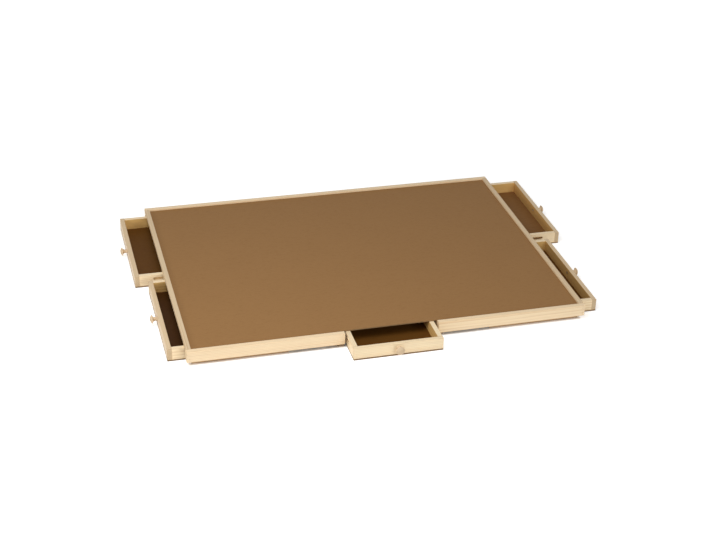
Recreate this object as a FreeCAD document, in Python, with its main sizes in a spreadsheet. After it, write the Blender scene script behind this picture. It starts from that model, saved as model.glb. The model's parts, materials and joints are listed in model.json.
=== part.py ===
"""Jigsaw puzzle table: a low framed board with five shallow drawers under its work surface.

Millimetres, +Z up. The origin lies on the ground under the middle of the table, +X runs along
the long side to the right and +Y to the back. The drawers stand partly open.
"""

import FreeCAD, Part
import os
import Sketcher

Vector = FreeCAD.Vector

SIZES = [
    # the table frame and its work surface
    ("table_length", 870.0),
    ("table_depth", 667.0),
    ("rail_thickness", 11.0),
    ("rail_lip", 3.9),
    ("rail_lift", 10.0),
    ("panel_thickness", 2.5),
    ("panel_notch", 8.0),
    ("batten_width", 14.0),
    ("divider_width", 15.0),
    ("guide_width", 13.0),
    ("edge_radius", 0.8),
    # the drawer boxes
    ("front_drawer_width", 194.0),
    ("drawer_depth", 200.0),
    ("drawer_height", 28.0),
    ("drawer_rise", 0.6),
    ("front_board", 10.0),
    ("side_board", 10.5),
    ("back_board", 9.0),
    ("bottom_board", 3.0),
    # room around each drawer: above it, beside it and behind it when shut
    ("gap_above", 0.4),
    ("gap_beside", 5.0),
    ("gap_behind", 0.3),
    # the groove in a drawer side and the runner strip in it
    ("groove_height", 6.0),
    ("groove_depth", 4.5),
    ("groove_drop", 6.6),
    ("groove_stop", 41.0),
    ("runner_height", 5.2),
    ("runner_reach", 4.0),
    ("runner_gap", 0.3),
    ("runner_end_gap", 0.5),
    # how far each drawer stands open
    ("left_back_pull", 62.5),
    ("left_front_pull", 36.0),
    ("right_back_pull", 76.5),
    ("right_front_pull", 39.0),
    ("front_pull", 52.0),
    # the turned knob and its screw
    ("knob_level", 17.0),
    ("knob_length", 16.0),
    ("knob_radius", 10.4),
    ("knob_edge", 0.8),
    ("cap_start", 10.5),
    ("neck_radius", 4.2),
    ("neck_length", 5.5),
    ("foot_radius", 5.8),
    ("foot_length", 2.0),
    ("screw_radius", 1.5),
    ("screw_reach", 8.5),
    ("screw_head_radius", 3.1),
    ("screw_head_length", 1.8),
    ("screw_gap", 0.1),
    # the nails through the front and back rails
    ("nail_radius", 0.8),
    ("nail_length", 22.0),
    ("nail_head_radius", 1.3),
    ("nail_head_length", 1.0),
    ("nail_inset", 7.0),
    ("nail_gap", 0.1),
]

doc = FreeCAD.newDocument("PuzzleTable")
sheet = doc.addObject("Spreadsheet::Sheet", "Dims")
for row, (alias, number) in enumerate(SIZES, start=1):
    sheet.set(f"A{row}", alias)
    sheet.set(f"B{row}", str(number))
    sheet.setAlias(f"B{row}", alias)
doc.recompute()

# Levels, from the ground up.
PANEL_UNDER = "(Dims.drawer_rise + Dims.drawer_height + Dims.gap_above)"
PANEL_TOP = f"({PANEL_UNDER} + Dims.panel_thickness)"
RAIL_TOP = f"({PANEL_TOP} + Dims.rail_lip)"
RUNNER_TOP = (
    "(Dims.drawer_rise + Dims.drawer_height - Dims.groove_drop - Dims.runner_gap)"
)

# Plan lines, as distances from the middle of the table.
END = "(Dims.table_length / 2)"
FACE = "(Dims.table_depth / 2)"
INNER_END = f"({END} - Dims.rail_thickness)"
INNER_FACE = f"({FACE} - Dims.rail_thickness)"
SIDE_STOP = f"({END} - Dims.drawer_depth - Dims.gap_behind)"
FRONT_STOP = f"({FACE} - Dims.drawer_depth - Dims.gap_behind)"
BAY_NEAR = "(Dims.divider_width / 2)"
BAY_FAR = f"({INNER_FACE} - Dims.guide_width)"
FRONT_BAY = "(Dims.front_drawer_width / 2 + Dims.gap_beside)"
SIDE_DRAWER_WIDTH = f"({BAY_FAR} - {BAY_NEAR} - 2 * Dims.gap_beside)"
RUNNER_WIDTH = "(Dims.gap_beside + Dims.runner_reach)"
RUNNER_SETBACK = "(Dims.groove_stop + Dims.groove_height / 2 + Dims.runner_end_gap)"
NAIL_LEVELS = ("(Dims.rail_lift + Dims.nail_inset)", f"({RAIL_TOP} - Dims.nail_inset)")
NAIL_LINE = f"({END} - Dims.rail_thickness / 2)"

sub_parts = []


def size_of(expression):
    """The number that an expression over the sheet comes to."""
    return float(sheet.evalExpression(expression))


def new_body(label):
    body = doc.addObject("PartDesign::Body", label)
    body.Label = label
    sub_parts.append(body)
    return body


def sketch_on(body, role, offset="0", rise="0"):
    """A sketch on one of the body's own origin planes, offset along the plane's normal."""
    plane = next(p for p in body.Origin.OriginFeatures if p.Role == role)
    sketch = body.newObject("Sketcher::SketchObject", f"{body.Label}_sketch")
    sketch.AttachmentSupport = (plane, [""])
    sketch.MapMode = "FlatFace"
    sketch.setExpression("AttachmentOffset.Base.z", offset)
    sketch.setExpression("AttachmentOffset.Base.y", rise)
    return sketch


def constrain(sketch, expression, *constraint):
    """Add a dimension and tie it to the sheet."""
    index = sketch.addConstraint(Sketcher.Constraint(*constraint, size_of(expression)))
    name = f"size_{index}"
    sketch.renameConstraint(index, name)
    sketch.setExpression(f"Constraints.{name}", expression)


def place_point(sketch, geometry, point, x, y):
    constrain(sketch, x, "DistanceX", -1, 1, geometry, point)
    constrain(sketch, y, "DistanceY", -1, 1, geometry, point)


def draw_outline(sketch, corners):
    """A closed outline of straight lines; each corner is a pair of expressions."""
    points = [Vector(size_of(x), size_of(y), 0) for x, y in corners]
    ends = points[1:] + points[:1]
    lines = [sketch.addGeometry(Part.LineSegment(a, b)) for a, b in zip(points, ends)]
    for line, following in zip(lines, lines[1:] + lines[:1]):
        sketch.addConstraint(Sketcher.Constraint("Coincident", line, 2, following, 1))
    for line, (x, y) in zip(lines, corners):
        place_point(sketch, line, 1, x, y)


def draw_rectangle(sketch, x_low, x_high, y_low, y_high):
    draw_outline(
        sketch,
        [(x_low, y_low), (x_high, y_low), (x_high, y_high), (x_low, y_high)],
    )


def draw_circle(sketch, x, y, radius):
    centre = Vector(size_of(x), size_of(y), 0)
    circle = Part.Circle(centre, Vector(0, 0, 1), size_of(radius))
    index = sketch.addGeometry(circle)
    place_point(sketch, index, 3, x, y)
    constrain(sketch, radius, "Radius", index)


def add_pad(body, sketch, length, backwards=False):
    pad = body.newObject("PartDesign::Pad", f"{body.Label}_pad")
    pad.Profile = sketch
    pad.Reversed = backwards
    pad.setExpression("Length", length)
    doc.recompute()
    return pad


def add_cut(body, kind, sketch, **settings):
    """A Pocket or Groove, checked to have taken wood away."""
    before = body.Tip.Shape.Volume
    cut = body.newObject(f"PartDesign::{kind}", f"{body.Label}_cut")
    cut.Profile = sketch
    length = settings.pop("length", None)
    if length:
        cut.setExpression("Length", length)
    for name, setting in settings.items():
        setattr(cut, name, setting)
    doc.recompute()
    if not cut.Shape.Volume < before - 1e-3:
        raise RuntimeError(f"the cut in {body.Label} takes nothing away")
    return cut


def ease_edges(body, chosen):
    """Round over the straight edges for which chosen(low corner, high corner) is true."""
    base = body.Tip
    names = []
    for index, edge in enumerate(base.Shape.Edges, start=1):
        box = edge.BoundBox
        low = Vector(box.XMin, box.YMin, box.ZMin)
        high = Vector(box.XMax, box.YMax, box.ZMax)
        if chosen(low, high):
            names.append(f"Edge{index}")
    fillet = body.newObject("PartDesign::Fillet", f"{body.Label}_eased")
    fillet.Base = (base, names)
    fillet.setExpression("Radius", "Dims.edge_radius")
    doc.recompute()


def close(a, b):
    return abs(a - b) < 1e-4


def add_block(label, x_low, x_high, y_low, y_high, z_low, z_high):
    """A plain sawn board between six expressions."""
    body = new_body(label)
    sketch = sketch_on(body, "XY_Plane", z_low)
    draw_rectangle(sketch, x_low, x_high, y_low, y_high)
    add_pad(body, sketch, f"{z_high} - {z_low}")
    return body


# ---------------------------------------------------------------- the table


def make_work_surface():
    """The thin panel inside the rim, cut back over the front drawer."""
    body = new_body("work_surface")
    sketch = sketch_on(body, "XY_Plane", PANEL_UNDER)
    draw_outline(
        sketch,
        [
            (f"-{INNER_END}", f"-{INNER_FACE}"),
            (f"-{FRONT_BAY}", f"-{INNER_FACE}"),
            (f"-{FRONT_BAY}", f"Dims.panel_notch - {INNER_FACE}"),
            (FRONT_BAY, f"Dims.panel_notch - {INNER_FACE}"),
            (FRONT_BAY, f"-{INNER_FACE}"),
            (INNER_END, f"-{INNER_FACE}"),
            (INNER_END, INNER_FACE),
            (f"-{INNER_END}", INNER_FACE),
        ],
    )
    add_pad(body, sketch, "Dims.panel_thickness")


def draw_nail_circles(sketch, lines, radius):
    for line in lines:
        for level in NAIL_LEVELS:
            draw_circle(sketch, line, level, radius)


def make_side_rail(label, outer_side):
    """A rim rail with two drawer openings sawn up to the panel; outer_side is -1 or 1."""
    body = new_body(label)
    sketch = sketch_on(body, "YZ_Plane", f"{outer_side} * {END}")
    low, under, top = "Dims.rail_lift", PANEL_UNDER, RAIL_TOP
    draw_outline(
        sketch,
        [
            (f"-{INNER_FACE}", low),
            (f"-{BAY_FAR}", low),
            (f"-{BAY_FAR}", under),
            (f"-{BAY_NEAR}", under),
            (f"-{BAY_NEAR}", low),
            (BAY_NEAR, low),
            (BAY_NEAR, under),
            (BAY_FAR, under),
            (BAY_FAR, low),
            (INNER_FACE, low),
            (INNER_FACE, top),
            (f"-{INNER_FACE}", top),
        ],
    )
    add_pad(body, sketch, "Dims.rail_thickness", backwards=outer_side > 0)
    top_z = size_of(RAIL_TOP)
    ease_edges(body, lambda low, high: close(low.z, top_z) and close(low.x, high.x))
    for face_side in (-1, 1):
        holes = sketch_on(body, "XZ_Plane", f"{-face_side} * {INNER_FACE}")
        radius = "Dims.nail_radius + Dims.nail_gap"
        draw_nail_circles(holes, [f"{outer_side} * {NAIL_LINE}"], radius)
        depth = "Dims.nail_length - Dims.rail_thickness + Dims.nail_gap"
        add_cut(body, "Pocket", holes, length=depth, Reversed=face_side > 0)


def make_long_rail(label, x_low, x_high, face_side, nailed_ends):
    """A rim rail along the front or back, drilled for the nails at its nailed ends."""
    inner, outer = f"{face_side} * {INNER_FACE}", f"{face_side} * {FACE}"
    y_low, y_high = (outer, inner) if face_side < 0 else (inner, outer)
    body = add_block(label, x_low, x_high, y_low, y_high, "Dims.rail_lift", RAIL_TOP)
    top_z, outer_y = size_of(RAIL_TOP), size_of(outer)

    def on_rim(low, high):
        upright = close(low.x, high.x) and close(low.y, high.y)
        return close(low.z, top_z) or (upright and close(low.y, outer_y))

    ease_edges(body, on_rim)
    lines = [f"{side} * {NAIL_LINE}" for side in nailed_ends]
    for radius, depth in (
        ("Dims.nail_radius + Dims.nail_gap", "Dims.rail_thickness * 1.5"),
        ("Dims.nail_head_radius + Dims.nail_gap", "Dims.nail_head_length"),
    ):
        holes = sketch_on(body, "XZ_Plane", f"{-face_side} * {FACE}")
        draw_nail_circles(holes, lines, radius)
        add_cut(body, "Pocket", holes, length=depth, Reversed=face_side > 0)


def make_rails():
    make_side_rail("left_rail", -1)
    make_side_rail("right_rail", 1)
    make_long_rail("front_rail_left", f"-{END}", f"-{FRONT_BAY}", -1, [-1])
    make_long_rail("front_rail_right", FRONT_BAY, END, -1, [1])
    make_long_rail("back_rail", f"-{END}", END, 1, [-1, 1])


def make_batten(label, x_low, x_high, y_low, y_high):
    add_block(label, x_low, x_high, y_low, y_high, "0", PANEL_UNDER)


def mirrored(side, low, high):
    """A span on the plus side, or the same span mirrored to the minus side."""
    return (low, high) if side > 0 else (f"-{high}", f"-{low}")


def make_battens():
    """The battens under the panel that carry it and guide and stop the drawers."""
    bay_wall = (FRONT_BAY, f"({FRONT_BAY} + Dims.batten_width)")
    stop_wall = (f"({SIDE_STOP} - Dims.batten_width)", SIDE_STOP)
    full_depth = (f"-{INNER_FACE}", INNER_FACE)
    for name, side in (("left", -1), ("right", 1)):
        make_batten(f"centre_batten_{name}", *mirrored(side, *bay_wall), *full_depth)
        make_batten(f"stop_batten_{name}", *mirrored(side, *stop_wall), *full_depth)
        behind_rail = mirrored(side, SIDE_STOP, INNER_END)
        middle = (f"-{BAY_NEAR}", BAY_NEAR)
        make_batten(f"divider_batten_{name}", *behind_rail, *middle)
        for row, face_side in (("front", -1), ("back", 1)):
            edge = mirrored(face_side, BAY_FAR, INNER_FACE)
            make_batten(f"corner_batten_{row}_{name}", *behind_rail, *edge)
    across = (f"-{FRONT_BAY}", FRONT_BAY)
    behind_front = (f"-{FRONT_STOP}", f"Dims.batten_width - {FRONT_STOP}")
    make_batten("front_stop_batten", *across, *behind_front)
    centre = ("-Dims.batten_width / 2", "Dims.batten_width / 2")
    make_batten("centre_cross_batten", *across, *centre)


def make_runner_pair(label, rectangles):
    """Two strips in one node, glued to the battens on both sides of a drawer."""
    body = new_body(label)
    sketch = sketch_on(body, "XY_Plane", f"{RUNNER_TOP} - Dims.runner_height")
    for rectangle in rectangles:
        draw_rectangle(sketch, *rectangle)
    add_pad(body, sketch, "Dims.runner_height")


def make_runners():
    run = (SIDE_STOP, f"({END} - {RUNNER_SETBACK})")
    near = (BAY_NEAR, f"({BAY_NEAR} + {RUNNER_WIDTH})")
    far = (f"({BAY_FAR} - {RUNNER_WIDTH})", BAY_FAR)
    for name, side in (("left", -1), ("right", 1)):
        for row, face_side in (("back", 1), ("front", -1)):
            along = mirrored(side, *run)
            strips = [(*along, *mirrored(face_side, *strip)) for strip in (near, far)]
            make_runner_pair(f"{name}_{row}_runners", strips)
    wall = (f"({FRONT_BAY} - {RUNNER_WIDTH})", FRONT_BAY)
    along = mirrored(-1, FRONT_STOP, f"({FACE} - {RUNNER_SETBACK})")
    strips = [(*mirrored(side, *wall), *along) for side in (-1, 1)]
    make_runner_pair("front_runners", strips)


def make_frame_nails():
    """Two nails at each corner, through the front and back rails into the side rails."""
    body = new_body("frame_nails")
    lines = (f"-{NAIL_LINE}", NAIL_LINE)
    for face_side in (-1, 1):
        for radius, length in (
            ("Dims.nail_radius", "Dims.nail_length"),
            ("Dims.nail_head_radius", "Dims.nail_head_length"),
        ):
            sketch = sketch_on(body, "XZ_Plane", f"{-face_side} * {FACE}")
            draw_nail_circles(sketch, lines, radius)
            add_pad(body, sketch, length, backwards=face_side < 0)


# -------------------------------------------------------------- the drawers
# Each drawer is drawn in its own frame: +X points out of the table, the outer face of the
# front board lies at x = 0, the drawer runs back to -drawer_depth and stands on z = 0.

BACK = "-Dims.drawer_depth"


def make_drawer_front(label, width):
    """The front board, bored and countersunk from inside for the knob screw."""
    half = f"({width} / 2)"
    body = add_block(
        label,
        "-Dims.front_board",
        "0",
        f"-{half}",
        half,
        "Dims.bottom_board",
        "Dims.drawer_height",
    )
    top_z, inner_x = size_of("Dims.drawer_height"), size_of("-Dims.front_board")

    def outer_or_top(low, high):
        outside = close(low.x, 0)
        inner_top = close(low.z, top_z) and close(high.x, inner_x)
        return outside or inner_top

    ease_edges(body, outer_or_top)
    hole = "Dims.screw_radius + Dims.screw_gap"
    sink = "Dims.screw_head_radius + Dims.screw_gap"
    profile = sketch_on(body, "XZ_Plane", rise="Dims.knob_level")
    draw_outline(
        profile,
        [
            ("-Dims.front_board", "0"),
            ("0", "0"),
            ("0", hole),
            ("Dims.screw_head_length - Dims.front_board", hole),
            ("-Dims.front_board", sink),
        ],
    )
    axis = (profile, ["H_Axis"])
    add_cut(body, "Groove", profile, ReferenceAxis=axis, Angle=360)


def draw_groove(sketch):
    """The runner groove: open at the back of the drawer, with a round blind end."""
    top = "(Dims.drawer_height - Dims.groove_drop)"
    low = f"({top} - Dims.groove_height)"
    radius = "(Dims.groove_height / 2)"
    bend = f"(-Dims.groove_stop - {radius})"
    corners = [(bend, top), (BACK, top), (BACK, low), (bend, low)]
    points = [Vector(size_of(x), size_of(y), 0) for x, y in corners]
    lines = [
        sketch.addGeometry(Part.LineSegment(a, b)) for a, b in zip(points, points[1:])
    ]
    tip = Vector(size_of("-Dims.groove_stop"), (points[0].y + points[3].y) / 2, 0)
    arc = sketch.addGeometry(Part.Arc(points[3], tip, points[0]))
    for line, following in zip(lines, lines[1:]):
        sketch.addConstraint(Sketcher.Constraint("Coincident", line, 2, following, 1))
    sketch.addConstraint(Sketcher.Constraint("Coincident", lines[2], 2, arc, 1))
    sketch.addConstraint(Sketcher.Constraint("Coincident", arc, 2, lines[0], 1))
    for line, (x, y) in zip(lines, corners):
        place_point(sketch, line, 1, x, y)
    place_point(sketch, lines[2], 2, *corners[3])
    sketch.addConstraint(Sketcher.Constraint("Vertical", arc, 3, arc, 1))


def make_drawer_side(label, width, side):
    """A side board with the runner groove in its outer face; side is -1 or 1."""
    half = f"({width} / 2)"
    span = mirrored(side, f"({half} - Dims.side_board)", half)
    body = add_block(
        label,
        BACK,
        "-Dims.front_board",
        *span,
        "Dims.bottom_board",
        "Dims.drawer_height",
    )
    top_z = size_of("Dims.drawer_height")
    ease_edges(body, lambda low, high: close(low.z, top_z) and close(low.y, high.y))
    sketch = sketch_on(body, "XZ_Plane", f"{-side} * {half}")
    draw_groove(sketch)
    add_cut(body, "Pocket", sketch, length="Dims.groove_depth", Reversed=side > 0)


def make_drawer_back(label, width):
    half = f"({width} / 2 - Dims.side_board)"
    body = add_block(
        label,
        BACK,
        f"Dims.back_board + {BACK}",
        f"-{half}",
        half,
        "Dims.bottom_board",
        "Dims.drawer_height",
    )
    top_z = size_of("Dims.drawer_height")
    ease_edges(body, lambda low, high: close(low.z, top_z) and close(low.x, high.x))


def make_drawer_bottom(label, width):
    half = f"({width} / 2)"
    add_block(label, BACK, "0", f"-{half}", half, "0", "Dims.bottom_board")


def make_knob(label):
    """A turned mushroom knob with a coned foot, a waist and a domed cap, bored for its screw."""
    body = new_body(label)
    sketch = sketch_on(body, "XZ_Plane", rise="Dims.knob_level")
    bore = "(Dims.screw_radius + Dims.screw_gap)"
    bore_end = "(Dims.screw_reach + Dims.screw_gap)"
    corners = [
        ("Dims.knob_length", "0"),
        (bore_end, "0"),
        (bore_end, bore),
        ("0", bore),
        ("0", "Dims.foot_radius"),
        ("Dims.foot_length", "Dims.neck_radius"),
        ("Dims.neck_length", "Dims.neck_radius"),
    ]
    points = [Vector(size_of(x), size_of(y), 0) for x, y in corners]
    lines = [
        sketch.addGeometry(Part.LineSegment(a, b)) for a, b in zip(points, points[1:])
    ]
    for line, following in zip(lines, lines[1:]):
        sketch.addConstraint(Sketcher.Constraint("Coincident", line, 2, following, 1))
    for line, (x, y) in zip(lines, corners):
        place_point(sketch, line, 1, x, y)
    place_point(sketch, lines[-1], 2, *corners[-1])
    rim = Vector(size_of("Dims.cap_start"), size_of("Dims.knob_radius"), 0)
    waist, crown = points[-1], points[0]
    # the hollow under the cap is tangent to the waist, the dome is centred on the axis
    hollow_radius = ((rim.x - waist.x) ** 2 + (rim.y - waist.y) ** 2) / (
        2 * (rim.y - waist.y)
    )
    dome_radius = ((crown.x - rim.x) ** 2 + rim.y**2) / (2 * (crown.x - rim.x))
    hollow_centre = Vector(waist.x, waist.y + hollow_radius, 0)
    dome_centre = Vector(crown.x - dome_radius, 0, 0)
    hollow = add_arc(sketch, hollow_centre, hollow_radius, waist, rim)
    dome = add_arc(sketch, dome_centre, dome_radius, rim, crown)
    hollow_ends = ends_of(sketch, hollow, waist)
    dome_ends = ends_of(sketch, dome, rim)
    joins = [
        (lines[-1], 2, hollow, hollow_ends[0]),
        (hollow, hollow_ends[1], dome, dome_ends[0]),
        (dome, dome_ends[1], lines[0], 1),
    ]
    for join in joins:
        sketch.addConstraint(Sketcher.Constraint("Coincident", *join))
    place_point(sketch, hollow, hollow_ends[1], "Dims.cap_start", "Dims.knob_radius")
    level = Sketcher.Constraint("Vertical", hollow, 3, hollow, hollow_ends[0])
    sketch.addConstraint(level)
    sketch.addConstraint(Sketcher.Constraint("PointOnObject", dome, 3, -1))
    turned = body.newObject("PartDesign::Revolution", f"{label}_turned")
    turned.Profile = sketch
    turned.ReferenceAxis = (sketch, ["H_Axis"])
    turned.Angle = 360
    doc.recompute()
    cap_x = size_of("Dims.cap_start")
    rims = [
        f"Edge{index}"
        for index, edge in enumerate(turned.Shape.Edges, start=1)
        if close(edge.BoundBox.XMin, cap_x) and close(edge.BoundBox.XMax, cap_x)
    ]
    fillet = body.newObject("PartDesign::Fillet", f"{label}_rim")
    fillet.Base = (turned, rims)
    fillet.setExpression("Radius", "Dims.knob_edge")
    doc.recompute()


def add_arc(sketch, centre, radius, start, end):
    """The shorter arc about centre from start to end."""
    middle = (start + end) * 0.5 - centre
    middle.normalize()
    return sketch.addGeometry(Part.Arc(start, centre + middle * radius, end))


def ends_of(sketch, arc, first):
    """The arc's two point numbers, the one at first before the other."""
    if sketch.getPoint(arc, 1).distanceToPoint(first) < 1e-4:
        return 1, 2
    return 2, 1


def make_knob_screw(label):
    """A countersunk wood screw from inside the drawer into the knob."""
    body = new_body(label)
    sketch = sketch_on(body, "XZ_Plane", rise="Dims.knob_level")
    tip = "(Dims.screw_reach - 2 * Dims.screw_radius)"
    draw_outline(
        sketch,
        [
            ("-Dims.front_board", "0"),
            ("Dims.screw_reach", "0"),
            (tip, "Dims.screw_radius"),
            ("Dims.screw_head_length - Dims.front_board", "Dims.screw_radius"),
            ("-Dims.front_board", "Dims.screw_head_radius"),
        ],
    )
    turned = body.newObject("PartDesign::Revolution", f"{label}_turned")
    turned.Profile = sketch
    turned.ReferenceAxis = (sketch, ["H_Axis"])
    turned.Angle = 360


def make_drawer(name, width, turn, x, y):
    """The seven pieces of one drawer, turned about Z and moved to their place."""
    first = len(sub_parts)
    make_drawer_front(f"{name}_front", width)
    make_drawer_side(f"{name}_left_side", width, -1)
    make_drawer_side(f"{name}_right_side", width, 1)
    make_drawer_back(f"{name}_back", width)
    make_drawer_bottom(f"{name}_bottom", width)
    make_knob(f"{name}_knob")
    make_knob_screw(f"{name}_knob_screw")
    for piece in sub_parts[first:]:
        rotation = FreeCAD.Rotation(Vector(0, 0, 1), turn)
        piece.Placement = FreeCAD.Placement(Vector(), rotation)
        piece.setExpression("Placement.Base.x", x)
        piece.setExpression("Placement.Base.y", y)
        piece.setExpression("Placement.Base.z", "Dims.drawer_rise")


def make_drawers():
    bay_middle = f"(({BAY_NEAR} + {BAY_FAR}) / 2)"
    for name, turn, side in (("left", 180, -1), ("right", 0, 1)):
        for row, face_side in (("back", 1), ("front", -1)):
            x = f"{side} * ({END} + Dims.{name}_{row}_pull)"
            y = f"{face_side} * {bay_middle}"
            make_drawer(f"{name}_{row}_drawer", SIDE_DRAWER_WIDTH, turn, x, y)
    y = f"-({FACE} + Dims.front_pull)"
    make_drawer("front_drawer", "Dims.front_drawer_width", -90, "0", y)


make_work_surface()
make_rails()
make_battens()
make_runners()
make_frame_nails()
make_drawers()
doc.recompute()

for thing in doc.Objects:
    if "Invalid" in thing.State or "Error" in thing.State:
        raise RuntimeError(f"{thing.Label} did not build: {thing.State}")
for piece in sub_parts:
    if piece.Shape.isNull() or not piece.Shape.isValid():
        raise RuntimeError(f"{piece.Label} has no valid shape")

os.makedirs("parts", exist_ok=True)
for piece in sub_parts:
    piece.Shape.exportStep(f"parts/{piece.Label}.step")
    print(f"{piece.Label}: {len(piece.Shape.Solids)} solid(s)")
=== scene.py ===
"""Looks of a tabletop jigsaw puzzle board with five shallow drawers.

Metres, +Z up, in the frame of the packed model. Nothing is read from disk besides that frame.
"""

import json
import math
import random

import bpy
from bpy.props import FloatProperty, FloatVectorProperty, PointerProperty
from mathutils import Matrix, Vector


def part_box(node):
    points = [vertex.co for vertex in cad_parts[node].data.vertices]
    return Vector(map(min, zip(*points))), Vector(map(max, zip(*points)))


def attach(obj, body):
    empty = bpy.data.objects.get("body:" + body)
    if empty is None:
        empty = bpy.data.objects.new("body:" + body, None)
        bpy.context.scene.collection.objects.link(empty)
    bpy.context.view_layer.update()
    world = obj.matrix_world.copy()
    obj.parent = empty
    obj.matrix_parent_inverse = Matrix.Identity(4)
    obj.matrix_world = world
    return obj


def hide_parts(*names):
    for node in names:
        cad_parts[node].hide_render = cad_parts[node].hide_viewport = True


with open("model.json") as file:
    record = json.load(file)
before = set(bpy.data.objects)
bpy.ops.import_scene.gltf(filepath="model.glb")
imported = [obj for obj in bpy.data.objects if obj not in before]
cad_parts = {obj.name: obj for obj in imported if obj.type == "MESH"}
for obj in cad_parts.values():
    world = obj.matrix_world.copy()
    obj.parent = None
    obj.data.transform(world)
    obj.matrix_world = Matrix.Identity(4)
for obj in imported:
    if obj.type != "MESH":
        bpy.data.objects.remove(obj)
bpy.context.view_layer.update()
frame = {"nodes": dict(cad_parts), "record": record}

bl_info = {
    "name": "Jigsaw puzzle table",
    "version": (1, 0, 0),
    "blender": (4, 5, 0),
    "location": "3D View > Sidebar > Puzzle table",
    "description": "Finishes the boards, knobs and fasteners of a tabletop puzzle board",
    "category": "Object",
}

SLIDES = {joint["child"]: Vector(joint["axis"]) for joint in frame["record"]["behaviour"]["joints"]}
NODES = sorted(frame["nodes"])

# Lengths are in metres. The frame nails and the knob screws fit holes that the boards already have.
NAIL_SIZES = {"Head Radius": 0.0013, "Head Height": 0.0006, "Shank Radius": 0.0008, "Length": 0.0215}
NAIL_HEAD, PUTTY_DEPTH = NAIL_SIZES["Head Radius"], 0.0004
PLUG_SIZES = {"Radius": NAIL_HEAD, "Thickness": PUTTY_DEPTH}
SCREW_SIZES = {
    "Head Radius": 0.0031, "Head Depth": 0.0018, "Shank Radius": 0.0015, "Length": 0.0185,
    "Recess Width": 0.0034, "Pitch": 0.0013,
}
# Pins under the drawer bottoms and brads in the drawer corners; proud is how far a head stands out.
THIN_SIZES = {"Head Height": 0.0004, "Shank Radius": 0.0005}
PIN_INSET, PIN_PROUD = 0.0045, 0.00012
BRAD_ABOVE_FOOT, BRAD_BELOW_TOP, BRAD_PROUD = 0.0035, 0.003, 0.0001
# Numbers of sides of the round shapes.
HEAD_SIDES, SHANK_SIDES, PLUG_SIDES, SCREW_HEAD_SIDES, SCREW_SIDES = 20, 12, 24, 40, 20
THREAD_STEPS, THREAD_SIDES = 16, 4

# Depth of the relief in each material, and how far below a board's skin the darker tint of its cut faces
# begins and is full. That tint is painted shade in the groove.
PINE_RELIEF, FIBREBOARD_RELIEF, STEEL_RELIEF = 0.00018, 0.00008, 0.00002
CUT_BEGINS, CUT_FULL = 0.0008, 0.002
# How far off the middle of a board the heart of its tree lies; a knob is turned from closer to the heart.
BOARD_HEART, KNOB_HEART = (0.03, 0.09), (0.002, 0.007)
# Spans of the shift of a board's pattern along its grain and of the factor on the width of its rings.
GRAIN_SHIFT, RING_CHANGE = (-2, 2), (0.8, 1.3)
# Distance between two rings of a wave texture at scale 1.
WAVE_RING = math.pi / 10
DULL_STEEL = (0.33, 0.31, 0.28, 1)
WHITE = (1, 1, 1, 1)

# The floor, how far from the middle its glow begins to grow and is full, and how far outside the rim's
# outline the glow sets in; a negative distance is inside it, under the rim.
FLOOR_REACH, FLOOR_LEVEL = 9.0, -0.0001
GLOW_BEGINS, GLOW_FULL, FAR_GLOW = 0.7, 1.9, 0.9
SHADE_ENDS, CLEAR_BEGINS = -0.0085, -0.003
# The camera's sensor in millimetres and how far it sees.
SENSOR_WIDTH, VIEW_END = 36.0, 60.0

# Places of the sockets of a Mix node for the factor and the colours.
MIX_FACTOR, MIX_FIRST, MIX_SECOND, MIX_RESULT = 0, 6, 7, 2
FLOAT, VECTOR, COLOUR = "NodeSocketFloat", "NodeSocketVector", "NodeSocketColor"
GEOMETRY = "NodeSocketGeometry"


def linear(red, green, blue):
    """A screen colour of 0 to 255 as the linear colour that shaders take."""
    return tuple(((c / 255 + 0.055) / 1.055) ** 2.4 for c in (red, green, blue))


def colour(name, description, screen):
    return FloatVectorProperty(
        name=name, description=description, subtype="COLOR", size=3, min=0, max=1, default=linear(*screen)
    )


def length(name, description, metres):
    return FloatProperty(
        name=name, description=description, unit="LENGTH", min=0, precision=5, default=metres
    )


def angle(name, description, radians):
    return FloatProperty(name=name, description=description, subtype="ANGLE", default=radians)


def position(name, description, metres):
    return FloatVectorProperty(name=name, description=description, subtype="XYZ", size=3, default=metres)


def lamp_power(lamp, where, watts):
    return FloatProperty(
        name=f"{lamp} power", description=f"Power of the lamp {where}", unit="POWER", min=0, default=watts
    )


def lamp_size(lamp, where, metres):
    return FloatVectorProperty(
        name=f"{lamp} size", description=f"Width and height of the lamp {where}", unit="LENGTH", size=2,
        default=metres,
    )


# ------------------------------------------------------------------ settings


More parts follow.
